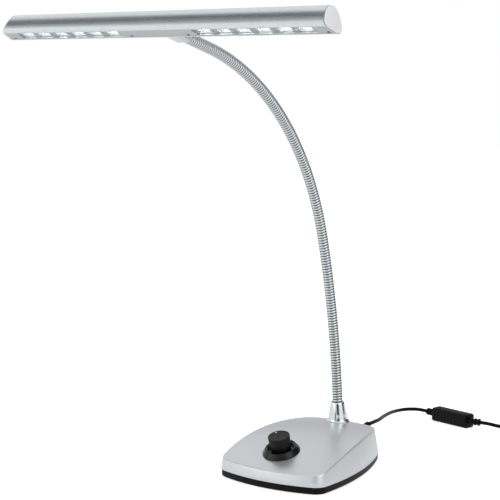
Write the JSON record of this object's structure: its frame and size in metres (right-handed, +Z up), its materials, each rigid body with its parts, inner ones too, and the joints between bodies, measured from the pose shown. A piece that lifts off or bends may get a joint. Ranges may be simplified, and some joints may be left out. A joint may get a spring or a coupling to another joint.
{
  "type": "piano lamp",
  "caption": "Piano lamp with a long slanted LED head on a gooseneck, a weighted rounded base with a rotary dimmer knob, and a low-voltage cord with an inline block and plug.",
  "frame": {"origin": "the middle of the base's underside, on the table", "axes": "+Z up, -Y towards the front of the lamp, where the head reaches over the keys or the music, +X to the lamp's right as seen from its front"},
  "size_m": [0.3618, 0.543, 0.4609],
  "materials": {
    "silver_paint": "satin",
    "black_plastic": "matte",
    "bezel_black": "satin",
    "knob_black": "matte",
    "marker_grey": "satin",
    "pad_rubber": "matte",
    "ballast_iron": "matte",
    "zinc_steel": "satin",
    "black_steel": "satin",
    "shaft_brass": "satin",
    "board_green": "satin",
    "white_plastic": "satin",
    "led_phosphor": "satin",
    "chrome": "polished",
    "satin_nickel": "satin",
    "satin_aluminium": "satin",
    "cap_grey": "satin",
    "cover_grey": "satin",
    "cord_black": "matte"
  },
  "bodies": {
    "base": {"base_cover": "silver_paint", "base_tray": "black_plastic", "base_pad": "pad_rubber", "ballast_plate": "ballast_iron", "tray_screw_1": "zinc_steel", "tray_screw_2": "zinc_steel", "tray_screw_3": "zinc_steel", "tray_screw_4": "zinc_steel", "knob_bezel": "bezel_black", "dimmer_body": "zinc_steel", "dimmer_nut": "zinc_steel", "driver_board": "board_green", "board_spacer_1": "white_plastic", "board_spacer_2": "white_plastic", "neck_ferrule": "chrome", "neck_washer": "zinc_steel", "neck_nut": "zinc_steel", "neck_root": "satin_nickel", "cord_strain_relief": "cord_black", "cord_lead_near": "cord_black", "inline_block": "black_plastic", "cord_lead_far": "cord_black", "cord_coil": "cord_black", "coil_tie": "black_plastic", "cord_tail": "cord_black", "barrel_plug": "black_plastic"},
    "knob": {"dimmer_knob": "knob_black", "knob_marker": "marker_grey", "dimmer_shaft": "shaft_brass"},
    "neck_link_01": {"neck_link_01": "satin_nickel"},
    "neck_link_02": {"neck_link_02": "satin_nickel"},
    "neck_link_03": {"neck_link_03": "satin_nickel"},
    "neck_link_04": {"neck_link_04": "satin_nickel"},
    "neck_link_05": {"neck_link_05": "satin_nickel"},
    "neck_link_06": {"neck_link_06": "satin_nickel"},
    "neck_link_07": {"neck_link_07": "satin_nickel"},
    "neck_link_08": {"neck_link_08": "satin_nickel"},
    "neck_link_09": {"neck_link_09": "satin_nickel"},
    "neck_link_10": {"neck_link_10": "satin_nickel"},
    "neck_link_11": {"neck_link_11": "satin_nickel"},
    "head": {"neck_tip": "satin_nickel", "neck_socket": "silver_paint", "socket_set_screw": "black_steel", "neck_bracket": "satin_aluminium", "head_profile": "satin_aluminium", "end_cap_left": "cap_grey", "end_cap_right": "cap_grey", "light_cover": "cover_grey", "cover_screw_1": "black_steel", "cover_screw_2": "black_steel", "cover_screw_3": "black_steel", "cover_screw_4": "black_steel", "reflector_left": "white_plastic", "reflector_right": "white_plastic", "led_board_left": "white_plastic", "led_board_right": "white_plastic", "led_row_left": "led_phosphor", "led_row_right": "led_phosphor"}
  },
  "joints": [
    {"name": "dimmer_turn", "type": "hinge", "parent": "base", "child": "knob", "pos_m": [0, -0.0481, 0.03036], "axis": [0, -0.2767, 0.9609], "range_deg": [-203, 97]},
    {"name": "neck_lower_bend_1", "type": "hinge", "parent": "base", "child": "neck_link_01", "pos_m": [0, 0.05858, 0.07479], "axis": [1, 0, 0], "range_deg": [-15, 15]},
    {"name": "neck_lower_side_1", "type": "hinge", "parent": "neck_link_01", "child": "neck_link_02", "pos_m": [0, 0.05359, 0.11736], "axis": [0, 0.9904, 0.1383], "range_deg": [-12, 12]},
    {"name": "neck_lower_bend_2", "type": "hinge", "parent": "neck_link_02", "child": "neck_link_03", "pos_m": [0, 0.04661, 0.15965], "axis": [1, 0, 0], "range_deg": [-15, 15]},
    {"name": "neck_lower_side_2", "type": "hinge", "parent": "neck_link_03", "child": "neck_link_04", "pos_m": [0, 0.03757, 0.20155], "axis": [0, 0.972, 0.2352], "range_deg": [-12, 12]},
    {"name": "neck_lower_bend_3", "type": "hinge", "parent": "neck_link_04", "child": "neck_link_05", "pos_m": [0, 0.02645, 0.24294], "axis": [1, 0, 0], "range_deg": [-15, 15]},
    {"name": "neck_lower_side_3", "type": "hinge", "parent": "neck_link_05", "child": "neck_link_06", "pos_m": [0, 0.01086, 0.28282], "axis": [0, 0.9005, 0.4348], "range_deg": [-12, 12]},
    {"name": "neck_upper_bend_1", "type": "hinge", "parent": "neck_link_06", "child": "neck_link_07", "pos_m": [0, -0.01067, 0.31983], "axis": [1, 0, 0], "range_deg": [-20, 15]},
    {"name": "neck_upper_side_1", "type": "hinge", "parent": "neck_link_07", "child": "neck_link_08", "pos_m": [0, -0.03765, 0.35308], "axis": [0, 0.7256, 0.6881], "range_deg": [-15, 15]},
    {"name": "neck_upper_bend_2", "type": "hinge", "parent": "neck_link_08", "child": "neck_link_09", "pos_m": [0, -0.06943, 0.38179], "axis": [1, 0, 0], "range_deg": [-20, 15]},
    {"name": "neck_upper_side_2", "type": "hinge", "parent": "neck_link_09", "child": "neck_link_10", "pos_m": [0, -0.10525, 0.40525], "axis": [0, 0.4818, 0.8763], "range_deg": [-15, 15]},
    {"name": "neck_upper_bend_3", "type": "hinge", "parent": "neck_link_10", "child": "neck_link_11", "pos_m": [0, -0.14425, 0.42293], "axis": [1, 0, 0], "range_deg": [-20, 15]},
    {"name": "neck_upper_side_3", "type": "hinge", "parent": "neck_link_11", "child": "head", "pos_m": [0, -0.18551, 0.43439], "axis": [0, 0.1924, 0.9813], "range_deg": [-15, 15]}
  ],
  "couplings": [
    {"joint": "neck_lower_bend_2", "follows": "neck_lower_bend_1", "ratio": 1},
    {"joint": "neck_lower_side_2", "follows": "neck_lower_side_1", "ratio": 1},
    {"joint": "neck_lower_bend_3", "follows": "neck_lower_bend_1", "ratio": 1},
    {"joint": "neck_lower_side_3", "follows": "neck_lower_side_1", "ratio": 1},
    {"joint": "neck_upper_bend_2", "follows": "neck_upper_bend_1", "ratio": 1},
    {"joint": "neck_upper_side_2", "follows": "neck_upper_side_1", "ratio": 1},
    {"joint": "neck_upper_bend_3", "follows": "neck_upper_bend_1", "ratio": 1},
    {"joint": "neck_upper_side_3", "follows": "neck_upper_side_1", "ratio": 1}
  ]
}
